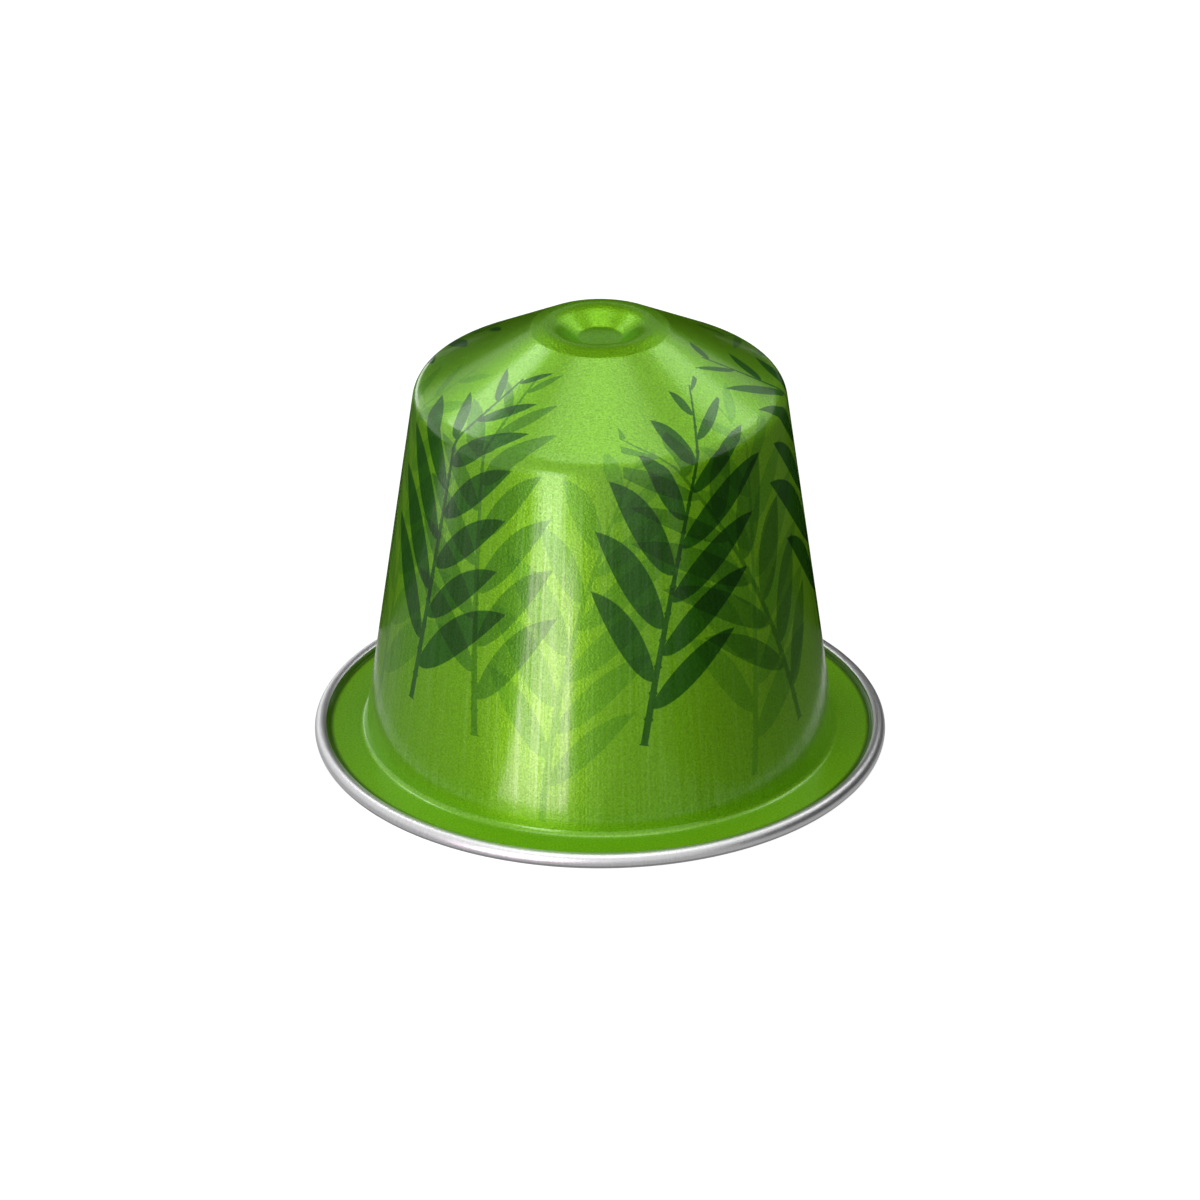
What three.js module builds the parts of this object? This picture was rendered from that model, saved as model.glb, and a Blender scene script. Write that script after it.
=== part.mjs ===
// A sealed single-serve coffee pod, standing on its rolled rim with the foil lid underneath.
// The cup is deep-drawn in one piece from thin lacquered aluminium: a dimpled crown, a sloping shoulder,
// a tapered wall, a flat flange and an edge that is rolled over into a curl. Nothing shows of its filling,
// so the filled cup is one solid, and only the rolled edge is open. The lid is a disc of foil, heat-sealed
// to the underside of the flange.
import * as THREE from "three";

// Driving dimensions, in millimetres and degrees

// Overall
const TOTAL_HEIGHT = 28.9;
const RIM_DIAMETER = 37;
const SHEET_THICKNESS = 0.12;

// Rolled edge: the sheet's round section, how far round it is rolled, the round where it leaves the
// flange, and the width of the narrow flat that it is pressed to and stands on
const CURL_DIAMETER = 1;
const CURL_SWEEP = 318;
const CURL_ROOT_ROUND = 0.12;
const CURL_FOOT_WIDTH = 0.2;

// Flange: how far its upper face lies above the middle of the curl
const FLANGE_RISE = 0.15;

// Wall: its outside diameter at the flange, its draft, and the round at its foot
const WALL_FOOT_DIAMETER = 30.42;
const WALL_DRAFT = 8.25;
const WALL_FOOT_ROUND = 0.4;

// Shoulder: its slope below the horizontal, and the round where it turns down into the wall
const SHOULDER_SLOPE = 29;
const SHOULDER_ROUND = 1.45;

// Crown: a ring-shaped crest round a dimple with a flat floor
const CREST_DIAMETER = 7.2;
const CREST_ROUND = 1.4;
const DIMPLE_SLOPE = 26;
const DIMPLE_FLOOR_DIAMETER = 3;
const DIMPLE_FLOOR_ROUND = 0.25;

// Foil lid, and the gap between its edge and the curl
const FOIL_THICKNESS = 0.05;
const FOIL_EDGE_GAP = 0.2;

// Fineness of the facets: sides of the turned shapes, and how far a chord may lie inside its arc
const TURNED_SIDES = 72;
const ARC_TOLERANCE = 0.006;

const radians = THREE.MathUtils.degToRad;

// Points on an arc of the section, from one angle to another, both ends included
function arc(centre, radius, fromAngle, toAngle) {
  const step = 2 * Math.acos(1 - Math.min(ARC_TOLERANCE / radius, 1));
  const count = Math.max(2, Math.ceil(Math.abs(toAngle - fromAngle) / step));
  return Array.from({ length: count + 1 }, (_, i) => {
    const angle = fromAngle + ((toAngle - fromAngle) * i) / count;
    const spoke = new THREE.Vector2(Math.cos(angle), Math.sin(angle));
    return spoke.multiplyScalar(radius).add(centre);
  });
}

// Where two straight runs of the section cross, each given by a point and a direction
function crossing(pointA, directionA, pointB, directionB) {
  const between = pointB.clone().sub(pointA);
  const along = between.cross(directionB) / directionA.cross(directionB);
  return pointA.clone().addScaledVector(directionA, along);
}

// The arc that rounds a corner of the section, from the run that arrives to the run that leaves
function rounded(corner, arriving, leaving, radius) {
  const turn = Math.atan2(arriving.cross(leaving), arriving.dot(leaving));
  const side = Math.sign(turn);
  const tangentLength = radius * Math.tan(Math.abs(turn) / 2);
  const start = corner.clone().addScaledVector(arriving, -tangentLength);
  const inward = new THREE.Vector2(-arriving.y, arriving.x).multiplyScalar(side);
  const centre = start.clone().addScaledVector(inward, radius);
  const fromAngle = Math.atan2(-inward.y, -inward.x);
  return arc(centre, radius, fromAngle, fromAngle + turn);
}

// The unit direction of a run that falls outwards at an angle below the horizontal
function falling(angle) {
  return new THREE.Vector2(Math.cos(radians(angle)), -Math.sin(radians(angle)));
}

// Levels and circles that several pieces share. The foot of the curl lies at height zero.
const curlRadius = CURL_DIAMETER / 2;
const footHalfAngle = Math.asin(CURL_FOOT_WIDTH / CURL_DIAMETER);
const curlCentre = new THREE.Vector2(
  RIM_DIAMETER / 2 - curlRadius,
  curlRadius * Math.cos(footHalfAngle),
);
const flangeTop = curlCentre.y + FLANGE_RISE;
const flangeUnderside = flangeTop - SHEET_THICKNESS;

// Crown: the dimple's flat floor, its conical side and the crest's round top
function crownSection() {
  const crestCentre = new THREE.Vector2(CREST_DIAMETER / 2, TOTAL_HEIGHT - CREST_ROUND);
  const crest = arc(
    crestCentre,
    CREST_ROUND,
    radians(90 + DIMPLE_SLOPE),
    radians(90 - SHOULDER_SLOPE),
  );
  const rising = falling(-DIMPLE_SLOPE);
  const toFloorEdge = crest[0].x - DIMPLE_FLOOR_DIAMETER / 2;
  const floorEdge = crest[0].clone().addScaledVector(rising, -toFloorEdge / rising.x);
  const floorRound = rounded(floorEdge, falling(0), rising, DIMPLE_FLOOR_ROUND);
  return [new THREE.Vector2(0, floorEdge.y), ...floorRound, ...crest];
}

// Shoulder and wall: the slope runs on from the crest until it meets the line of the wall
function wallSection(crestEnd) {
  const shoulderRun = falling(SHOULDER_SLOPE);
  const wallRun = falling(90 - WALL_DRAFT);
  const foot = new THREE.Vector2(WALL_FOOT_DIAMETER / 2, flangeTop);
  const shoulder = crossing(crestEnd, shoulderRun, foot, wallRun);
  return [
    ...rounded(shoulder, shoulderRun, wallRun, SHOULDER_ROUND),
    ...rounded(foot, wallRun, falling(0), WALL_FOOT_ROUND),
  ];
}

// Rolled edge: the sheet turns up out of the flange, over, down to its flat foot and back in under the
// flange. It stays open at its end, and the section comes back along the inside of the roll.
function curlSection() {
  const reach = curlRadius + CURL_ROOT_ROUND;
  const rootRise = FLANGE_RISE + CURL_ROOT_ROUND;
  const rootCentre = new THREE.Vector2(
    curlCentre.x - Math.sqrt(reach ** 2 - rootRise ** 2),
    flangeTop + CURL_ROOT_ROUND,
  );
  const rootAngle = Math.asin(rootRise / reach);
  const startAngle = Math.PI - rootAngle;
  const endAngle = startAngle - radians(CURL_SWEEP);
  const innerRadius = curlRadius - SHEET_THICKNESS;
  const innerStart = Math.PI - Math.asin((flangeUnderside - curlCentre.y) / innerRadius);
  const root = arc(rootCentre, CURL_ROOT_ROUND, -Math.PI / 2, -rootAngle);
  return [
    ...root.slice(0, -1),
    ...arc(curlCentre, curlRadius, startAngle, -Math.PI / 2 + footHalfAngle),
    ...arc(curlCentre, curlRadius, -Math.PI / 2 - footHalfAngle, endAngle),
    ...arc(curlCentre, innerRadius, endAngle, innerStart),
    new THREE.Vector2(0, flangeUnderside),
  ];
}

// A closed section that starts and ends on the axis, turned about the vertical
function turned(section) {
  const upwards = section.slice().reverse();
  return new THREE.LatheGeometry(upwards, TURNED_SIDES).rotateX(Math.PI / 2);
}

function makeCup() {
  const crown = crownSection();
  const wall = wallSection(crown.at(-1));
  const lacquer = new THREE.MeshStandardMaterial({
    color: 0x6aa528,
    roughness: 0.32,
    metalness: 0.85,
  });
  const cup = new THREE.Mesh(turned([...crown, ...wall, ...curlSection()]), lacquer);
  cup.name = "sealed_cup";
  return cup;
}

function makeFoilLid() {
  const radius = curlCentre.x - curlRadius - FOIL_EDGE_GAP;
  const underside = flangeUnderside - FOIL_THICKNESS;
  const section = [
    new THREE.Vector2(0, flangeUnderside),
    new THREE.Vector2(radius, flangeUnderside),
    new THREE.Vector2(radius, underside),
    new THREE.Vector2(0, underside),
  ];
  const foil = new THREE.MeshStandardMaterial({
    color: 0xc9cbcc,
    roughness: 0.38,
    metalness: 1,
  });
  const lid = new THREE.Mesh(turned(section), foil);
  lid.name = "foil_lid";
  return lid;
}

const pod = new THREE.Group();
pod.name = "coffee_pod";
pod.add(makeCup(), makeFoilLid());

export default pod;
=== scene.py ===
from math import asin, atan2, ceil, cos, pi, radians, sin, sqrt, tan

import bpy
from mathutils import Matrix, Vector


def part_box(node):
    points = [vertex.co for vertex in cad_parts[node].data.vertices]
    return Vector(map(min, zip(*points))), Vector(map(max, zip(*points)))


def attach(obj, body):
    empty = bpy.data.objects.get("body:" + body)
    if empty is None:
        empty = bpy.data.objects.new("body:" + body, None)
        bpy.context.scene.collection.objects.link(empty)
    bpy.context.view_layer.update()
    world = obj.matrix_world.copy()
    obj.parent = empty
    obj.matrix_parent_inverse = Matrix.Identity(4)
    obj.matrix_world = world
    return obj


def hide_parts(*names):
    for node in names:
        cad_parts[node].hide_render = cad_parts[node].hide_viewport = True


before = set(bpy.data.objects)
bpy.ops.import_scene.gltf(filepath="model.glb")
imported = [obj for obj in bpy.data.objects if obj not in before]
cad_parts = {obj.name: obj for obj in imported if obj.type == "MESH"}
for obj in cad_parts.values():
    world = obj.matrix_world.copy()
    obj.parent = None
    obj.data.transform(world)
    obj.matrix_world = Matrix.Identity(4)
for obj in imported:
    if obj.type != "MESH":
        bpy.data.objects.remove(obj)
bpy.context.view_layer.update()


# Sealed cup
# One piece of thin aluminium sheet, lacquered green and printed while it is flat. It is deep-drawn to a
# dimpled crown, a sloping shoulder and a tapered wall, and the edge of its flange is rolled over into a
# curl. The coffee is sealed in, so the cup is closed underneath, where the lid lies on it.
MM = 0.001
cup_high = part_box("sealed_cup")[1]
lid_low, lid_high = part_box("foil_lid")

SHEET = 0.12 * MM
CURL_RADIUS = 0.5 * MM
CURL_SWEEP = radians(318)
CURL_ROOT_ROUND = 0.12 * MM
CURL_FOOT_WIDTH = 0.2 * MM
LACQUER_EDGE_ANGLE = radians(121)
WALL_FOOT_RADIUS = 15.21 * MM
WALL_DRAFT = radians(8.25)
WALL_FOOT_ROUND = 0.4 * MM
SHOULDER_SLOPE = radians(29)
SHOULDER_ROUND = 1.45 * MM
CREST_EDGE_RADIUS = 4.4 * MM
CREST_EDGE_ROUND = 0.5 * MM
CREST_SLOPE = radians(17)
CREST_RADIUS = 3.3 * MM
CREST_ROUND = 1.6 * MM
DIMPLE_SLOPE = radians(33)
DIMPLE_FLOOR_RADIUS = 1.45 * MM
DIMPLE_FLOOR_ROUND = 0.5 * MM

# Fineness of the turned pieces: sides, the largest step round an arc of the section, how close to the
# ends of a straight run an extra loop holds its shading flat, how far apart points still merge, and the
# sharpest bend that is shaded smooth
TURNED_SIDES = 256
ARC_STEP = radians(6)
HOLD = 0.04 * MM
MERGE_DISTANCE = 0.001 * MM
SMOOTH_BEND = radians(35)


def at(radius, height):
    """A point of the half section, which is drawn in the plane of X and Z."""
    return Vector((radius, 0, height))


def heading(angle):
    """The direction at an angle above outwards."""
    return Vector((cos(angle), 0, sin(angle)))


def crossing(point, direction, other_point, other_direction):
    """Where two straight runs of the section meet."""
    between = other_point - point
    across = direction.x * other_direction.z - direction.z * other_direction.x
    along = (between.x * other_direction.z - between.z * other_direction.x) / across
    return point + direction * along


class Outline:
    """The half section of a turned piece, drawn by hand in edit mode from its start to its end."""

    def __init__(self, name, start):
        bpy.ops.object.select_all(action="DESELECT")
        bpy.ops.mesh.primitive_plane_add(size=MM, location=start)
        self.piece = bpy.context.object
        self.piece.name = name
        self.end = start
        bpy.ops.object.mode_set(mode="EDIT")
        bpy.ops.mesh.merge(type="CENTER")

    def straight(self, to):
        """A straight run to a point."""
        run = to - self.end
        hold = run.normalized() * HOLD
        stops = [self.end + hold, to - hold, to] if run.length > 4 * HOLD else [to]
        for stop in stops:
            move = {"value": stop - self.end}
            bpy.ops.mesh.extrude_region_move(TRANSFORM_OT_translate=move)
            self.end = stop

    def arc(self, centre, angle, step=ARC_STEP):
        """A round run about a centre, anticlockwise where the angle is positive."""
        steps = ceil(abs(angle) / step)
        bpy.ops.mesh.spin(steps=steps, angle=angle, center=centre, axis=(0, 1, 0))
        spoke = self.end - centre
        start_angle = atan2(spoke.z, spoke.x)
        self.end = centre + heading(start_angle + angle) * spoke.length

    def corner(self, corner, leaving, radius):
        """A straight run to a corner, and the arc that rounds it off into the direction of leaving."""
        arriving = (corner - self.end).normalized()
        turn = atan2(arriving.x * leaving.z - arriving.z * leaving.x, arriving.dot(leaving))
        self.straight(corner - arriving * radius * tan(abs(turn) / 2))
        inwards = Vector((-arriving.z, 0, arriving.x)) * (1 if turn > 0 else -1)
        self.arc(self.end + inwards * radius, turn)

    def turn(self):
        """Spins the section all the way round, and closes its seam and its poles."""
        bpy.ops.mesh.select_all(action="SELECT")
        bpy.ops.mesh.spin(steps=TURNED_SIDES, angle=2 * pi, center=(0, 0, 0), axis=(0, 0, 1))
        bpy.ops.mesh.select_all(action="SELECT")
        bpy.ops.mesh.remove_doubles(threshold=MERGE_DISTANCE)
        bpy.ops.mesh.normals_make_consistent(inside=False)
        bpy.ops.object.mode_set(mode="OBJECT")
        bpy.ops.object.transform_apply(location=True, rotation=True, scale=True)
        bpy.ops.object.shade_smooth_by_angle(angle=SMOOTH_BEND)
        return self.piece


# The curl's middle, the flange's two faces, and where the straight runs of the section meet
foot_half_angle = asin(CURL_FOOT_WIDTH / 2 / CURL_RADIUS)
curl_centre = at(cup_high.x - CURL_RADIUS, CURL_RADIUS * cos(foot_half_angle))
flange_underside = lid_high.z
flange_top = flange_underside + SHEET
wall_foot = at(WALL_FOOT_RADIUS, flange_top)
down_the_wall = heading(WALL_DRAFT - pi / 2)
down_the_shoulder = heading(-SHOULDER_SLOPE)
crest_centre = at(CREST_RADIUS, cup_high.z - CREST_ROUND)
crest_start = crest_centre + heading(pi / 2 + DIMPLE_SLOPE) * CREST_ROUND
crest_end = crest_centre + heading(pi / 2 - CREST_SLOPE) * CREST_ROUND
crest_edge_drop = (CREST_EDGE_RADIUS - crest_end.x) * tan(CREST_SLOPE)
crest_edge = at(CREST_EDGE_RADIUS, crest_end.z - crest_edge_drop)
shoulder_edge = crossing(crest_edge, down_the_shoulder, wall_foot, down_the_wall)
dimple_depth_run = (crest_start.x - DIMPLE_FLOOR_RADIUS) * tan(DIMPLE_SLOPE)
dimple_floor = crest_start.z - dimple_depth_run

# The root of the curl is a small hollow round between the flange and the roll
root_reach = CURL_RADIUS + CURL_ROOT_ROUND
root_rise = flange_top + CURL_ROOT_ROUND - curl_centre.z
root_angle = asin(root_rise / root_reach)
root_centre = at(curl_centre.x - sqrt(root_reach**2 - root_rise**2), flange_top + CURL_ROOT_ROUND)
roll_start = pi - root_angle
roll_end = roll_start - CURL_SWEEP
roll_inside = CURL_RADIUS - SHEET
roll_inside_end = pi - asin((flange_underside - curl_centre.z) / roll_inside)

outline = Outline("cup", at(0, dimple_floor))
outline.corner(at(DIMPLE_FLOOR_RADIUS, dimple_floor), heading(DIMPLE_SLOPE), DIMPLE_FLOOR_ROUND)
outline.straight(crest_start)
outline.arc(crest_centre, -DIMPLE_SLOPE - CREST_SLOPE)
outline.corner(crest_edge, down_the_shoulder, CREST_EDGE_ROUND)
outline.corner(shoulder_edge, down_the_wall, SHOULDER_ROUND)
outline.corner(wall_foot, heading(0), WALL_FOOT_ROUND)
outline.straight(at(root_centre.x, flange_top))
outline.arc(root_centre, pi / 2 - root_angle)
outline.arc(curl_centre, LACQUER_EDGE_ANGLE - roll_start)
outline.arc(curl_centre, -pi / 2 + foot_half_angle - LACQUER_EDGE_ANGLE)
outline.straight(curl_centre + heading(-pi / 2 - foot_half_angle) * CURL_RADIUS)
outline.arc(curl_centre, roll_end + pi / 2 + foot_half_angle)
outline.straight(curl_centre + heading(roll_end) * roll_inside)
outline.arc(curl_centre, roll_inside_end - roll_end)
outline.straight(at(0, flange_underside))
cup = outline.turn()


class Measure:
    """A number that varies over a surface. Arithmetic on it adds a Math node to its node tree."""

    def __init__(self, tree, socket):
        self.tree = tree
        self.socket = socket

    def maths(self, operation, *others, clamp=False):
        node = self.tree.nodes.new("ShaderNodeMath")
        node.operation = operation
        node.use_clamp = clamp
        for socket, value in zip(node.inputs, (self, *others)):
            feed(self.tree, socket, value)
        return Measure(self.tree, node.outputs[0])

    def __add__(self, other):
        return self.maths("ADD", other)

    def __sub__(self, other):
        return self.maths("SUBTRACT", other)

    def __mul__(self, other):
        return self.maths("MULTIPLY", other)

    def __truediv__(self, other):
        return self.maths("DIVIDE", other)

    def __pow__(self, other):
        return self.maths("POWER", other)

    def above(self, other):
        """1 where this number is above the other, and 0 elsewhere."""
        return self.maths("GREATER_THAN", other)

    def clamped(self):
        """This number, kept between 0 and 1."""
        return self.maths("ADD", 0.0, clamp=True)

    def rising(self, start, end):
        """0 up to start and 1 from end on, with a straight ramp between them."""
        return ((self - start) / (end - start)).clamped()


def feed(tree, socket, value):
    """Sets a socket to a fixed value, or links what varies to it."""
    if isinstance(value, Measure):
        value = value.socket
    if isinstance(value, bpy.types.NodeSocket):
        tree.links.new(value, socket)
    else:
        socket.default_value = value


def shade_group(name, takes, gives):
    """An empty shader node group, with what it takes as Measures and its output node."""
    group = bpy.data.node_groups.new(name, "ShaderNodeTree")
    for title, kind in takes:
        group.interface.new_socket(name=title, in_out="INPUT", socket_type="NodeSocket" + kind)
    for title in gives:
        group.interface.new_socket(name=title, in_out="OUTPUT", socket_type="NodeSocketFloat")
    entry = group.nodes.new("NodeGroupInput")
    leave = group.nodes.new("NodeGroupOutput")
    taken = {title: Measure(group, entry.outputs[title]) for title, kind in takes}
    return group, taken, leave


def place_group(tree, group, values):
    """Puts a group into a tree, feeds it, and gives its outputs as Measures."""
    node = tree.nodes.new("ShaderNodeGroup")
    node.node_tree = group
    for title, value in values.items():
        feed(tree, node.inputs[title], value)
    return {output.name: Measure(tree, output) for output in node.outputs}


def vector_of(tree, x, y, z):
    """Three numbers as one vector."""
    node = tree.nodes.new("ShaderNodeCombineXYZ")
    for socket, value in zip(node.inputs, (x, y, z)):
        feed(tree, socket, value)
    return node.outputs[0]


def noise(tree, place, scale, detail=2.0, roughness=0.5):
    """Soft noise about 0, from -1 to 1, with lumps about 1 / scale across."""
    node = tree.nodes.new("ShaderNodeTexNoise")
    feed(tree, node.inputs["Vector"], place)
    feed(tree, node.inputs["Scale"], scale)
    node.inputs["Detail"].default_value = detail
    node.inputs["Roughness"].default_value = roughness
    return (Measure(tree, node.outputs["Fac"]) - 0.5) * 2.0


# Group: where a point lies on the pod, in millimetres and radians. Around is 0 at the front and grows
# to the right. Down is measured along the sheet from the shoulder's edge, and is negative above it. The
# axis is kept clear of, since nothing can be divided by a radius of 0.
AXIS_CLEARANCE = 0.001
place_on_pod, taken, given = shade_group(
    "place_on_pod",
    [("Object", "Vector")],
    ["Height", "Radius", "Around", "Down", "Cosine", "Sine"],
)
split = place_on_pod.nodes.new("ShaderNodeSeparateXYZ")
feed(place_on_pod, split.inputs[0], taken["Object"])
x, y, height = (Measure(place_on_pod, output) / MM for output in split.outputs)
radius = (x * x + y * y).maths("SQRT").maths("MAXIMUM", AXIS_CLEARANCE)
below_edge = (height * -1.0 + shoulder_edge.z / MM).maths("MAXIMUM", 0.0)
inside_edge = (radius * -1.0 + shoulder_edge.x / MM).maths("MAXIMUM", 0.0)
feed(place_on_pod, given.inputs["Height"], height)
feed(place_on_pod, given.inputs["Radius"], radius)
feed(place_on_pod, given.inputs["Around"], x.maths("ARCTAN2", y * -1.0))
down = below_edge / cos(WALL_DRAFT) - inside_edge / cos(SHOULDER_SLOPE)
feed(place_on_pod, given.inputs["Down"], down)
feed(place_on_pod, given.inputs["Cosine"], x / radius)
feed(place_on_pod, given.inputs["Sine"], y / radius)

# Group: fine speckled grain, as lacquer and rolled metal have it. Size is a grain's width in millimetres,
# and the mottle's lumps are a number of grains wide.
MOTTLE_WIDTH = 9.0
speckled_grain, taken, given = shade_group(
    "speckled_grain",
    [("Object", "Vector"), ("Size", "Float")],
    ["Grain", "Mottle"],
)
grain_scale = taken["Size"] ** -1.0 / MM
speckle = noise(speckled_grain, taken["Object"], grain_scale, detail=1.0)
mottle = noise(speckled_grain, taken["Object"], grain_scale / MOTTLE_WIDTH)
feed(speckled_grain, given.inputs["Grain"], speckle)
feed(speckled_grain, given.inputs["Mottle"], mottle)

# Group: the lines that the drawing die leaves along the sheet. They run straight down the wall, or
# outwards over the curl. Width is a line's width where the radius is DRAWN_CIRCLE, and Length how long it
# is, all in millimetres. The bands are softer and wider, and a line's width is a share of a band's.
DRAWN_CIRCLE = 15.0
LINE_SHARE_OF_BAND = 0.16
drawn_lines, taken, given = shade_group(
    "drawn_lines",
    [("Object", "Vector"), ("Width", "Float"), ("Length", "Float")],
    ["Lines", "Bands"],
)
spot = place_group(drawn_lines, place_on_pod, {"Object": taken["Object"]})
line_x = spot["Cosine"] * DRAWN_CIRCLE / taken["Width"]
line_y = spot["Sine"] * DRAWN_CIRCLE / taken["Width"]
line_z = (spot["Height"] + spot["Radius"]) / taken["Length"]
line_place = vector_of(drawn_lines, line_x, line_y, line_z)
feed(drawn_lines, given.inputs["Lines"], noise(drawn_lines, line_place, 1.0, roughness=0.6))
feed(drawn_lines, given.inputs["Bands"], noise(drawn_lines, line_place, LINE_SHARE_OF_BAND))

# Group: a ring of sprays of the print, each a thin jointed cane that grows up the wall from near its foot,
# with slender leaves on one side and the other in turn. Sizes are in millimetres and radians. No two
# sprays of a ring have quite the same height, lean and bend.
leafy_canes, taken, given = shade_group(
    "leafy_canes",
    [
        ("Around", "Float"),
        ("Radius", "Float"),
        ("Down", "Float"),
        ("Canes", "Float"),
        ("Shift", "Float"),
        ("Lean", "Float"),
        ("Foot Down", "Float"),
        ("Cane Length", "Float"),
        ("Leaf Length", "Float"),
        ("Leaf Width", "Float"),
    ],
    ["Cover"],
)
PRINT_SOFTNESS = 0.05

# The cane: how far apart its joints are, half its width, how much of that is left at its tip, how far up
# is the point that it leans about, how much it swells at a joint and how long the swelling is, and how
# much the canes differ
JOINT_SPACING = 3.5
CANE_HALF_WIDTH = 0.26
CANE_TIP_SHARE = 0.35
LEAN_PIVOT = 1 / 2.2
JOINT_SWELLING = 0.4
JOINT_LENGTH = 0.08
LEAN_SPREAD = 0.30
BEND_SPREAD = 0.020
FOOT_SPREAD = 3.0

# The leaf: its angle to the cane and how it curves away, how small the smallest is and how much larger
# others are, how it shrinks towards the tip of the cane and towards the crown, the power that sets how
# full it is near its root, what makes its widest part 1, and how far up the cane the leaves begin and end
LEAF_LEAN = radians(40)
LEAF_DROOP = 0.035
SMALLEST_LEAF = 0.8
LEAF_SPREAD = 0.3
TIP_SHRINKS = (1.1, 0.45)
TIP_LEAF_SHARE = 0.4
CROWN_SHRINKS = (3.0, 13.0)
CROWN_LEAF_SHARE = 0.25
LEAF_FULLNESS = 0.7
WIDEST_IS_ONE = 1.63
LEAVES_BEGIN = 1.0
LEAVES_END = -0.1


def random_of(tree, x, y, z, output):
    """Random numbers that stay the same as long as the three given numbers do."""
    node = tree.nodes.new("ShaderNodeTexWhiteNoise")
    feed(tree, node.inputs["Vector"], vector_of(tree, x, y, z))
    return node.outputs[output]


turns = (taken["Around"] - taken["Shift"]) * taken["Canes"] / (2 * pi)
cane_number = turns.maths("ROUND")
numbered = cane_number.maths("FLOORED_MODULO", taken["Canes"])
chance = leafy_canes.nodes.new("ShaderNodeSeparateXYZ")
feed(leafy_canes, chance.inputs[0], random_of(leafy_canes, numbered, taken["Shift"], 0.5, "Color"))
lean_chance, bend_chance, foot_chance = (Measure(leafy_canes, output) - 0.5 for output in chance.outputs)
lean = taken["Lean"] + lean_chance * LEAN_SPREAD
lean_sine = lean.maths("SINE")
aside = (turns - cane_number) / taken["Canes"] * (2 * pi) * taken["Radius"]
aside = aside + lean_sine * taken["Cane Length"] * LEAN_PIVOT
rise = taken["Foot Down"] + foot_chance * FOOT_SPREAD - taken["Down"]
along = aside * lean_sine + rise * lean.maths("COSINE")
bend = bend_chance * BEND_SPREAD * along * along
across = aside * lean.maths("COSINE") - rise * lean_sine - bend
side = across.maths("SIGN")
off = across.maths("ABSOLUTE")

# Each leaf starts from the joint that its root lies nearest to, and narrows to both of its ends
root = along - off / tan(LEAF_LEAN) + off * off * LEAF_DROOP + side * JOINT_SPACING / 4.0
joint = (root / JOINT_SPACING).maths("ROUND")
joint_along = joint * JOINT_SPACING - side * JOINT_SPACING / 4.0
leaf_seed = numbered * 8.0 + side
leaf_chance = Measure(leafy_canes, random_of(leafy_canes, joint, leaf_seed, 0.5, "Value"))
vigour = leaf_chance * LEAF_SPREAD + SMALLEST_LEAF
up_the_cane = (joint_along / taken["Cane Length"]).rising(*TIP_SHRINKS)
outwards = taken["Radius"].rising(*CROWN_SHRINKS)
tapered = up_the_cane * (1 - TIP_LEAF_SHARE) + TIP_LEAF_SHARE
tapered = tapered * (outwards * (1 - CROWN_LEAF_SHARE) + CROWN_LEAF_SHARE)
leaf_length = taken["Leaf Length"] * vigour * tapered
out = (off / sin(LEAF_LEAN) / leaf_length).clamped()
leaf_form = out**LEAF_FULLNESS * (out * -1.0 + 1.0) * WIDEST_IS_ONE
leaf_half_width = taken["Leaf Width"] * vigour * tapered * leaf_form
beside = ((root - joint * JOINT_SPACING) * sin(LEAF_LEAN)).maths("ABSOLUTE")
grows = joint_along.above(LEAVES_BEGIN) * (taken["Cane Length"] - joint_along).above(LEAVES_END)
leaves = ((leaf_half_width - beside) / PRINT_SOFTNESS).clamped() * grows

# The cane narrows upwards, and thickens a little at each joint
below_tip = (along / taken["Cane Length"]).rising(1.0, 0.0)
cane_taper = below_tip * (1 - CANE_TIP_SHARE) + CANE_TIP_SHARE
past_joint = ((along / JOINT_SPACING * 2.0 + 0.5).maths("FRACT") - 0.5).maths("ABSOLUTE")
swelling = past_joint.rising(JOINT_LENGTH, 0.0) * JOINT_SWELLING + 1.0
cane_half_width = cane_taper * CANE_HALF_WIDTH * swelling
on_cane = along.above(0.0) * (taken["Cane Length"] - along).above(0.0)
cane = ((cane_half_width - off) / PRINT_SOFTNESS).clamped() * on_cane
feed(leafy_canes, given.inputs["Cover"], leaves.maths("MAXIMUM", cane))

# The print: three rings of sprays in clear inks, the faintest first. Each row has the colour that the ink
# lets through, the number of canes, how far round they are shifted and how far they lean, in degrees, and
# how far below the shoulder they start, the cane's length, the leaf's length and its width, in millimetres
SPRAY_RINGS = [
    ((0.66, 0.78, 0.74, 1), 6, -12, 8, 22.0, 25, 9.4, 1.90),
    ((0.42, 0.56, 0.50, 1), 4, 52, -10, 20.0, 25, 9.4, 1.95),
    ((0.10, 0.26, 0.12, 1), 5, 20, 9, 19.0, 24, 9.6, 1.95),
]
PRINT_INNER_RADIUS = 4.7

# The lacquer's own green, the paler green where it is thin, and the green of light that glances off it
LACQUER_GREEN = (0.204, 0.52, 0.005, 1)
PALE_LINE_GREEN = (0.52, 0.68, 0.24, 1)
EDGE_GREEN = (0.40, 0.80, 0.10, 1)

# Where its finish changes, in millimetres, each from where the change begins to where it is complete: the
# drawing lines below the shoulder and above the flange, the turn from shoulder to wall, the foot of the
# wall, the edge of the crown, the flange, and the hollow beside the roll, where shade is painted in
LINES_BELOW_SHOULDER = (0.5, 3.0)
LINES_ABOVE_FLANGE = (0.9, 1.6)
SHOULDER_TURN = (-1.2, 0.3)
WALL_FOOT_TURN = (0.62, 0.72)
CROWN_EDGE = (4.2, 4.6)
FLANGE_START = (15.6, 15.9)
ROOT_HOLLOW = (17.2, 17.42)
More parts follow.
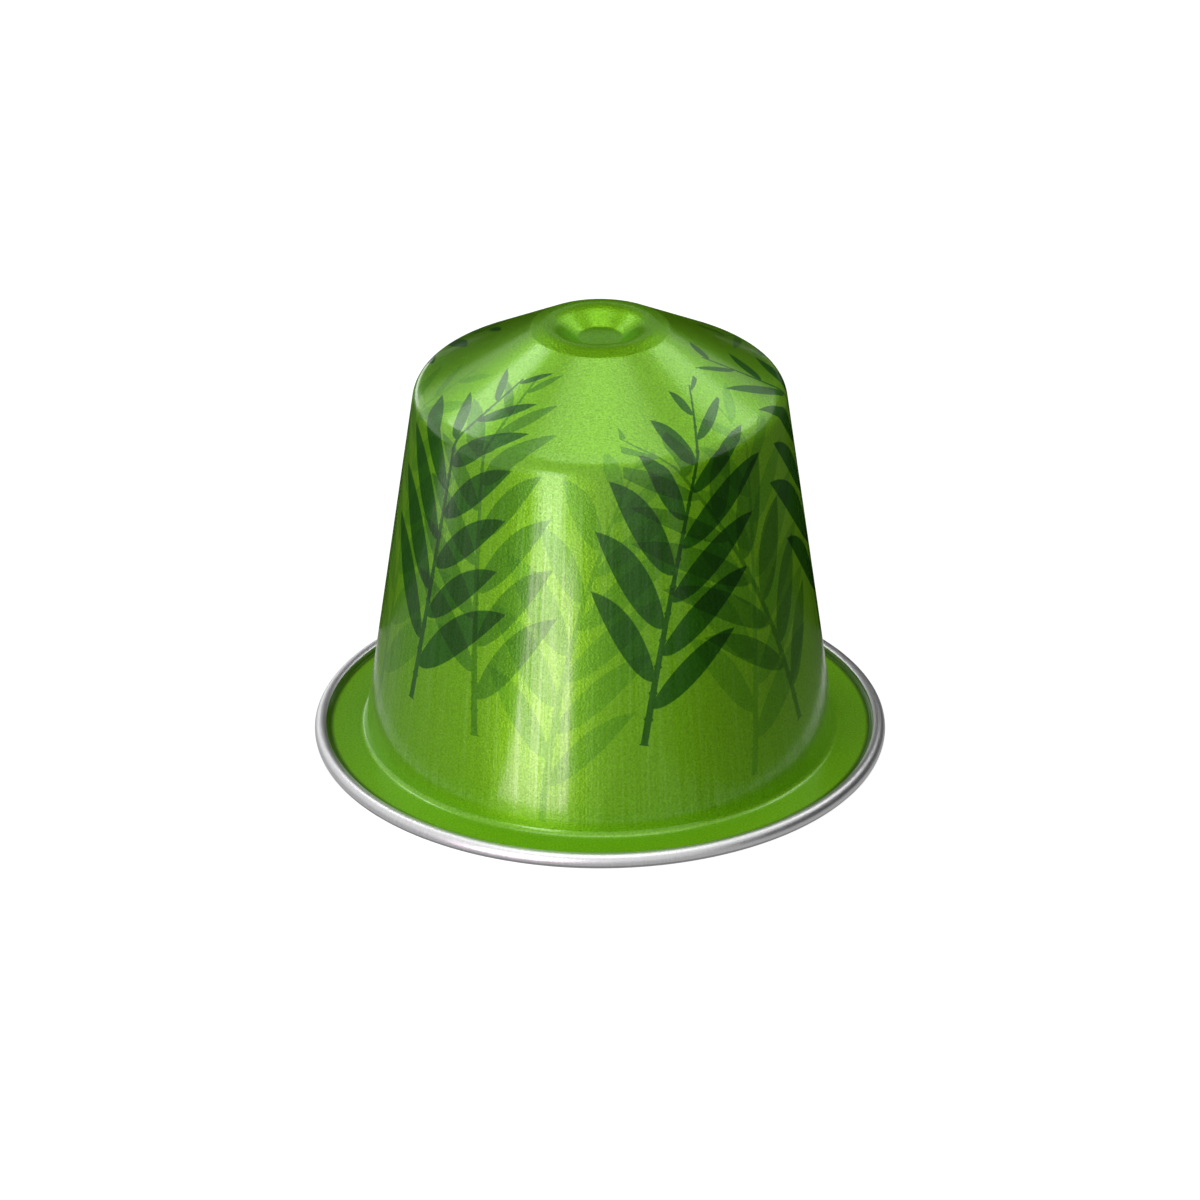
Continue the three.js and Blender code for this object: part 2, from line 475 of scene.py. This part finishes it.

# How far its colour varies: where the drawing has thinned it, with the lines, bands and grain, and how
# much painted shade darkens the hollow beside the roll and the crown and shoulder
LACQUER_GRAIN = 0.13
LINE_WIDTH = 0.22
LINE_LENGTH = 9.0
THINNED_IN_LINES = 0.16
LINE_TONE = 0.15
BAND_TONE = 0.08
GRAIN_TONE = 0.4
HOLLOW_PAINTED_SHADE = 0.75
TOP_PAINTED_SHADE = 0.22

# How rough it is, how far it shines as the metal under it does, how strongly it is brushed and which way,
# as a share of a turn, and the depth of its grain and lines
WALL_ROUGHNESS = 0.44
LINE_ROUGHNESS = 0.05
MOTTLE_ROUGHNESS = 0.02
TOP_SMOOTHER = 0.08
WALL_METALLIC = 0.24
TOP_METALLIC = 0.66
BRUSHED = 0.5
BRUSHED_UPRIGHT = 0.25
GRAIN_DEPTH = 0.014 * MM
LINE_DEPTH = 0.006 * MM

# The clear varnish over it is thickest on the wall, thinner on the shoulder, thin on the flange and the
# crown, and varies with the lines, bands and grain
VARNISH = 0.88
VARNISH_IN_LINES = 1.2
VARNISH_IN_BANDS = 0.5
VARNISH_IN_GRAIN = 0.5
VARNISH_ROUGHNESS = 0.16
VARNISH_ON_CROWN = 0.2
VARNISH_MORE_OUTSIDE = 0.5
VARNISH_MORE_ON_WALL = 0.30
VARNISH_LESS_ON_FLANGE = 0.6


def new_material(name):
    """A material with its shader and Object coordinates ready."""
    material = bpy.data.materials.new(name)
    material.use_nodes = True
    tree = material.node_tree
    coordinates = tree.nodes.new("ShaderNodeTexCoord").outputs["Object"]
    return material, tree, tree.nodes["Principled BSDF"], coordinates


def tinted(tree, colour, ink, amount, blend="MIX"):
    """One colour laid over another, as far as amount says."""
    node = tree.nodes.new("ShaderNodeMix")
    node.data_type = "RGBA"
    node.blend_type = blend
    feed(tree, node.inputs["Factor"], amount)
    feed(tree, node.inputs["A"], colour)
    feed(tree, node.inputs["B"], ink)
    return node.outputs["Result"]


def raised(tree, layers):
    """Normals from layers of relief, each a varying height and what a height of 1 is in metres."""
    normal = None
    for height, depth in layers:
        bump = tree.nodes.new("ShaderNodeBump")
        bump.inputs["Distance"].default_value = depth
        feed(tree, bump.inputs["Height"], height)
        if normal:
            tree.links.new(normal, bump.inputs["Normal"])
        normal = bump.outputs["Normal"]
    return normal


def make_lacquer():
    material, tree, shader, coordinates = new_material("printed_green_lacquer")
    spot = place_group(tree, place_on_pod, {"Object": coordinates})
    grain = place_group(tree, speckled_grain, {"Object": coordinates, "Size": LACQUER_GRAIN})
    line_sizes = {"Object": coordinates, "Width": LINE_WIDTH, "Length": LINE_LENGTH}
    lines = place_group(tree, drawn_lines, line_sizes)
    on_wall = spot["Down"].rising(*LINES_BELOW_SHOULDER) * spot["Height"].rising(*LINES_ABOVE_FLANGE)
    upright = spot["Down"].rising(*SHOULDER_TURN) * spot["Height"].rising(*WALL_FOOT_TURN)
    on_top = spot["Down"].rising(*reversed(SHOULDER_TURN))
    off_crown = spot["Radius"].rising(*CROWN_EDGE)
    on_flange = spot["Radius"].rising(*FLANGE_START)
    painted_shade_in_hollow = spot["Radius"].rising(*ROOT_HOLLOW)
    on_print = spot["Radius"].above(PRINT_INNER_RADIUS)
    streaks = lines["Lines"] * on_wall
    bands = lines["Bands"] * on_wall

    thinned = (streaks * THINNED_IN_LINES).clamped()
    colour = tinted(tree, LACQUER_GREEN, PALE_LINE_GREEN, thinned)
    for ink, canes, shift, lean, foot_down, cane_length, leaf_length, leaf_width in SPRAY_RINGS:
        ring = {
            "Around": spot["Around"],
            "Radius": spot["Radius"],
            "Down": spot["Down"],
            "Canes": float(canes),
            "Shift": radians(shift),
            "Lean": radians(lean),
            "Foot Down": foot_down,
            "Cane Length": float(cane_length),
            "Leaf Length": leaf_length,
            "Leaf Width": leaf_width,
        }
        cover = place_group(tree, leafy_canes, ring)["Cover"] * on_print
        colour = tinted(tree, colour, ink, cover, "MULTIPLY")
    tone = streaks * LINE_TONE + bands * BAND_TONE + grain["Grain"] * GRAIN_TONE + 1.0
    # Painted shade: the colour is darkened in the hollow beside the roll and over the crown and shoulder
    tone = tone * (painted_shade_in_hollow * -HOLLOW_PAINTED_SHADE + 1.0) * (on_top * -TOP_PAINTED_SHADE + 1.0)
    toned = tree.nodes.new("ShaderNodeVectorMath")
    toned.operation = "SCALE"
    feed(tree, toned.inputs[0], colour)
    feed(tree, toned.inputs["Scale"], tone)
    feed(tree, shader.inputs["Base Color"], toned.outputs[0])

    roughness = streaks * LINE_ROUGHNESS + grain["Mottle"] * MOTTLE_ROUGHNESS
    feed(tree, shader.inputs["Roughness"], roughness - on_top * TOP_SMOOTHER + WALL_ROUGHNESS)
    relief = raised(tree, [(grain["Grain"], GRAIN_DEPTH), (streaks, LINE_DEPTH)])
    feed(tree, shader.inputs["Normal"], relief)
    metallic = on_top * (TOP_METALLIC - WALL_METALLIC) + WALL_METALLIC
    feed(tree, shader.inputs["Metallic"], metallic)
    shader.inputs["Anisotropic"].default_value = BRUSHED
    shader.inputs["Anisotropic Rotation"].default_value = BRUSHED_UPRIGHT
    shader.inputs["Specular Tint"].default_value = EDGE_GREEN
    tangent = tree.nodes.new("ShaderNodeTangent")
    tangent.direction_type = "RADIAL"
    tangent.axis = "Z"
    tree.links.new(tangent.outputs[0], shader.inputs["Tangent"])

    varnish = streaks * VARNISH_IN_LINES + bands * VARNISH_IN_BANDS
    varnish = varnish + grain["Grain"] * VARNISH_IN_GRAIN + VARNISH
    share = off_crown * VARNISH_MORE_OUTSIDE + upright * VARNISH_MORE_ON_WALL + VARNISH_ON_CROWN
    share = share * (on_flange * -VARNISH_LESS_ON_FLANGE + 1.0)
    feed(tree, shader.inputs["Coat Weight"], varnish * share)
    shader.inputs["Coat Roughness"].default_value = VARNISH_ROUGHNESS
    return material


# The bare metal of the roll: its darkest and palest grey, how pale it is between them and how much lines
# and grain change that, the size of both, how rough it is and how much both change that, and their depth
BARE_DARK = (0.38, 0.38, 0.38, 1)
BARE_PALE = (0.66, 0.66, 0.67, 1)
BARE_TONE = 0.85
BARE_LINE_TONE = 0.2
BARE_GRAIN_TONE = 0.25
BARE_GRAIN = 0.09
BARE_LINE_WIDTH = 0.12
BARE_LINE_LENGTH = 1.2
BARE_ROUGHNESS = 0.40
BARE_LINE_ROUGHNESS = 0.06
BARE_GRAIN_ROUGHNESS = 0.04
BARE_DEPTH = 0.006 * MM


def make_bare_aluminium():
    material, tree, shader, coordinates = new_material("bare_rolled_aluminium")
    grain = place_group(tree, speckled_grain, {"Object": coordinates, "Size": BARE_GRAIN})["Grain"]
    line_sizes = {"Object": coordinates, "Width": BARE_LINE_WIDTH, "Length": BARE_LINE_LENGTH}
    lines = place_group(tree, drawn_lines, line_sizes)["Lines"]
    tone = lines * BARE_LINE_TONE + grain * BARE_GRAIN_TONE + BARE_TONE
    feed(tree, shader.inputs["Base Color"], tinted(tree, BARE_DARK, BARE_PALE, tone))
    roughness = lines * BARE_LINE_ROUGHNESS + grain * BARE_GRAIN_ROUGHNESS + BARE_ROUGHNESS
    feed(tree, shader.inputs["Roughness"], roughness)
    feed(tree, shader.inputs["Normal"], raised(tree, [(grain, BARE_DEPTH), (lines, BARE_DEPTH)]))
    shader.inputs["Metallic"].default_value = 1.0
    return material


# The lacquer ends on top of the roll, and the sheet's other face has none
lacquer_edge = curl_centre.x + CURL_RADIUS * cos(LACQUER_EDGE_ANGLE)
halfway_through_sheet = flange_underside + SHEET / 2
cup.data.materials.append(make_lacquer())
cup.data.materials.append(make_bare_aluminium())
for face in cup.data.polygons:
    middle = face.center
    outside = Vector((middle.x, middle.y)).length < lacquer_edge and middle.z > halfway_through_sheet
    face.material_index = 0 if outside else 1
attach(cup, "root")
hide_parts("sealed_cup")


# Foil lid
# A disc of soft aluminium foil, heat-sealed to the underside of the flange. The band where it is sealed is
# flat and stands a little proud. Inside the band the foil is free, sags slightly and is a little rumpled.
SEAL_BAND_WIDTH = 1.9 * MM
SEAL_STEP = 0.02 * MM
SAG = 0.004 * MM
SAG_LOOPS = 60
RUMPLE = 0.04 * MM
RUMPLE_WIDTH = 2.2 * MM
RUMPLE_OCTAVES = 2

seal_inside = at(lid_high.x - SEAL_BAND_WIDTH, lid_low.z)
free_edge = at(seal_inside.x - SEAL_STEP, lid_low.z + SEAL_STEP + SAG)
sag_radius = (free_edge.x**2 + SAG**2) / (2 * SAG)
sag_angle = asin(free_edge.x / sag_radius)
outline = Outline("foil_lid_sheet", at(0, lid_high.z))
outline.straight(at(lid_high.x, lid_high.z))
outline.straight(at(lid_high.x, lid_low.z))
outline.straight(seal_inside)
outline.straight(free_edge)
outline.arc(at(0, free_edge.z - SAG + sag_radius), -sag_angle, sag_angle / SAG_LOOPS)
lid = outline.turn()

# The rumples fade out towards the band
free_foil = lid.vertex_groups.new(name="free_foil")
for vertex in lid.data.vertices:
    inwards = (free_edge.x - Vector((vertex.co.x, vertex.co.y)).length) / RUMPLE_WIDTH
    if vertex.co.z < lid_high.z - SEAL_STEP / 2 and inwards > 0:
        free_foil.add([vertex.index], min(inwards, 1.0), "REPLACE")
crumple = bpy.data.textures.new("crumple", "CLOUDS")
crumple.noise_scale = RUMPLE_WIDTH
crumple.noise_depth = RUMPLE_OCTAVES
rumple = lid.modifiers.new("rumple", "DISPLACE")
rumple.texture = crumple
rumple.texture_coords = "LOCAL"
rumple.vertex_group = "free_foil"
rumple.strength = RUMPLE
bpy.ops.object.modifier_apply(modifier="rumple")


# The foil's darkest and palest grey, how pale it is between them and how much its mottle changes that, how
# rough it is and how much its grain changes that, and the size and depth of the grain
FOIL_DARK = (0.6, 0.61, 0.62, 1)
FOIL_PALE = (0.84, 0.84, 0.85, 1)
FOIL_TONE = 0.95
FOIL_MOTTLE_TONE = 0.05
FOIL_ROUGHNESS = 0.3
FOIL_GRAIN_ROUGHNESS = 0.04
FOIL_GRAIN = 0.14
FOIL_GRAIN_DEPTH = 0.003 * MM


def make_lid_foil():
    material, tree, shader, coordinates = new_material("lidding_foil")
    grain = place_group(tree, speckled_grain, {"Object": coordinates, "Size": FOIL_GRAIN})
    tone = grain["Mottle"] * FOIL_MOTTLE_TONE + FOIL_TONE
    feed(tree, shader.inputs["Base Color"], tinted(tree, FOIL_DARK, FOIL_PALE, tone))
    roughness = grain["Grain"] * FOIL_GRAIN_ROUGHNESS + FOIL_ROUGHNESS
    feed(tree, shader.inputs["Roughness"], roughness)
    feed(tree, shader.inputs["Normal"], raised(tree, [(grain["Grain"], FOIL_GRAIN_DEPTH)]))
    shader.inputs["Metallic"].default_value = 1.0
    return material


lid.data.materials.append(make_lid_foil())
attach(lid, "root")
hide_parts("foil_lid")


# Studio
# A pale floor under a white surround, with soft boxes at the front left, high at the back left and the
# back right, and overhead. Cards that only reflections see draw the highlight and the dark sides.
WHITE = (1, 1, 1, 1)
WARM_WHITE = (1, 0.72, 0.88, 1)
FLOOR_WIDTH = 6
FLOOR_GREY = (0.5, 0.5, 0.5, 1)
FLOOR_ROUGHNESS = 0.9
FLOOR_SEEN = 0.82
SURROUND_LIGHT = 0.22
DISC_SIDES = 64


def aim(piece, centre, target):
    """Stands a lamp, a card or a camera at a place, in millimetres, and turns it to face another."""
    place = Vector(centre) * MM
    looked_at = Vector(target) * MM
    piece.location = place
    piece.rotation_euler = (place - looked_at).to_track_quat("Z", "Y").to_euler()


def soft_box(name, centre, target, size, brightness):
    """A soft box of an even brightness, where 1 is the surround's white."""
    width = size[0] * MM
    height = size[1] * MM
    data = bpy.data.lights.new(name, "AREA")
    data.shape = "RECTANGLE"
    data.size = width
    data.size_y = height
    data.energy = brightness * pi * width * height
    lamp = bpy.data.objects.new(name, data)
    bpy.context.scene.collection.objects.link(lamp)
    aim(lamp, centre, target)
    lamp.visible_camera = False


def show_in_metal_alone(card, brightness, colour):
    """Gives a card an even brightness, from 0 for black upwards, that only reflections see."""
    material = bpy.data.materials.new(card.name)
    material.use_nodes = True
    nodes = material.node_tree.nodes
    glow = nodes.new("ShaderNodeEmission")
    glow.inputs["Color"].default_value = colour
    glow.inputs["Strength"].default_value = brightness
    material.node_tree.links.new(glow.outputs[0], nodes["Material Output"].inputs["Surface"])
    card.data.materials.append(material)
    card.visible_camera = False
    card.visible_diffuse = False
    card.visible_transmission = False
    card.visible_shadow = False


def reflected_card(name, centre, target, size, brightness, near_share=1.0, colour=WHITE):
    """A flat card, the near edge of which may be narrower than its far edge."""
    bpy.ops.object.select_all(action="DESELECT")
    bpy.ops.mesh.primitive_plane_add(size=MM)
    card = bpy.context.object
    card.name = name
    for corner in card.data.vertices:
        if corner.co.y < 0:
            corner.co.x *= near_share
    card.scale = (size[0], size[1], 1)
    aim(card, centre, target)
    show_in_metal_alone(card, brightness, colour)


def reflected_disc(name, radius, height, brightness):
    """A round card just above the floor round the foot of the pod, which its rim mirrors as painted shade
    of the floor there.
    """
    bpy.ops.object.select_all(action="DESELECT")
    bpy.ops.mesh.primitive_circle_add(vertices=DISC_SIDES, radius=radius * MM, fill_type="NGON")
    disc = bpy.context.object
    disc.name = name
    disc.location.z = height * MM
    show_in_metal_alone(disc, brightness, WHITE)


def seen_plainly(tree):
    """1 for what the camera sees, directly or in metal or glass, and 0 for the light of the surround."""
    path = tree.nodes.new("ShaderNodeLightPath")
    camera = Measure(tree, path.outputs["Is Camera Ray"])
    mirrored = camera + Measure(tree, path.outputs["Is Glossy Ray"])
    return mirrored.maths("ADD", Measure(tree, path.outputs["Is Transmission Ray"]), clamp=True)


def make_floor():
    bpy.ops.object.select_all(action="DESELECT")
    bpy.ops.mesh.primitive_plane_add(size=FLOOR_WIDTH)
    floor = bpy.context.object
    floor.name = "floor"
    material = bpy.data.materials.new("pale_floor")
    material.use_nodes = True
    tree = material.node_tree
    shader = tree.nodes["Principled BSDF"]
    shader.inputs["Base Color"].default_value = FLOOR_GREY
    shader.inputs["Roughness"].default_value = FLOOR_ROUGHNESS
    shader.inputs["Specular IOR Level"].default_value = 0.0
    shader.inputs["Emission Color"].default_value = WHITE
    feed(tree, shader.inputs["Emission Strength"], seen_plainly(tree) * FLOOR_SEEN)
    floor.data.materials.append(material)


def make_world():
    world = bpy.data.worlds.new("surround")
    world.use_nodes = True
    tree = world.node_tree
    background = tree.nodes["Background"]
    background.inputs["Color"].default_value = WHITE
    strength = seen_plainly(tree) * (1 - SURROUND_LIGHT) + SURROUND_LIGHT
    feed(tree, background.inputs["Strength"], strength)
    bpy.context.scene.world = world


make_floor()
make_world()

# Each row says where a box or card stands, what it faces, its two sizes, all in millimetres, and how bright
# it is. The disc lies flat, and has a radius and a height above the floor.
soft_box("front_left_box", (-28, -58.3, 18), (0, 0, 18), (17, 38), 4.8)
soft_box("back_left_box", (-114, 115, 182), (-7, 0, 25), (56, 56), 5.0)
soft_box("back_right_box", (104, 104, 160), (0, 0, 27), (80, 60), 2.4)
soft_box("overhead_box", (0, -35, 500), (0, 0, 0), (340, 270), 1.9)
reflected_card("front_left_glow", (-16.8, -39.7, 4.5), (0, 0, 200), (24, 42), 6.6, 0.4, WARM_WHITE)
reflected_card("front_floor_card", (0, -66, 0.15), (0, -66, 9), (260, 122), 0.3)
reflected_card("right_card", (46, 14, 17), (0, 14, 17), (128, 34), 0.03)
reflected_card("right_floor_card", (50, 14, 0.25), (50, 14, 9), (68, 128), 0.05)
reflected_card("left_floor_card", (-42, 16, 0.2), (-42, 16, 9), (56, 72), 0.2)
# The foot disc is painted shade: a grey card, darker than the floor, that the rim mirrors as the shaded
# floor round the foot
reflected_disc("foot_shade_disc", 20.8, 0.35, 0.55)
reflected_card("high_back_card", (0, 303, 397), (0, 0, 27), (290, 310), 0.12)
reflected_card("near_back_card", (30, 60, 35), (30, 0, 35), (160, 26), 0.0)
reflected_card("back_right_card", (160, 500, 100), (160, 0, 100), (330, 200), 0.0)
reflected_card("back_left_glow", (-67, 110, 13), (-18, 0, 1), (60, 24), 2.2)
reflected_card("back_floor_card", (0, 160, 0.3), (0, 160, 9), (400, 292), 0.0)
bpy.context.scene.view_settings.view_transform = "Standard"


# Camera
# A long lens, level from side to side, that looks down on the front of the pod as in the photograph.
CAMERA_ELEVATION = radians(27.5)
CAMERA_DISTANCE = 380
AIM_HEIGHT = 9.4
PICTURE_SIDE = 1200
PIXELS_PER_MM = 15.57
SENSOR_WIDTH = 36.0
NEAREST_SEEN = 0.01

camera_data = bpy.data.cameras.new("camera")
camera = bpy.data.objects.new("camera", camera_data)
bpy.context.scene.collection.objects.link(camera)
camera_back = -CAMERA_DISTANCE * cos(CAMERA_ELEVATION)
camera_height = AIM_HEIGHT + CAMERA_DISTANCE * sin(CAMERA_ELEVATION)
aim(camera, (0, camera_back, camera_height), (0, 0, AIM_HEIGHT))
camera_data.sensor_width = SENSOR_WIDTH
camera_data.lens = SENSOR_WIDTH * CAMERA_DISTANCE / (PICTURE_SIDE / PIXELS_PER_MM)
camera_data.clip_start = NEAREST_SEEN
bpy.context.scene.camera = camera
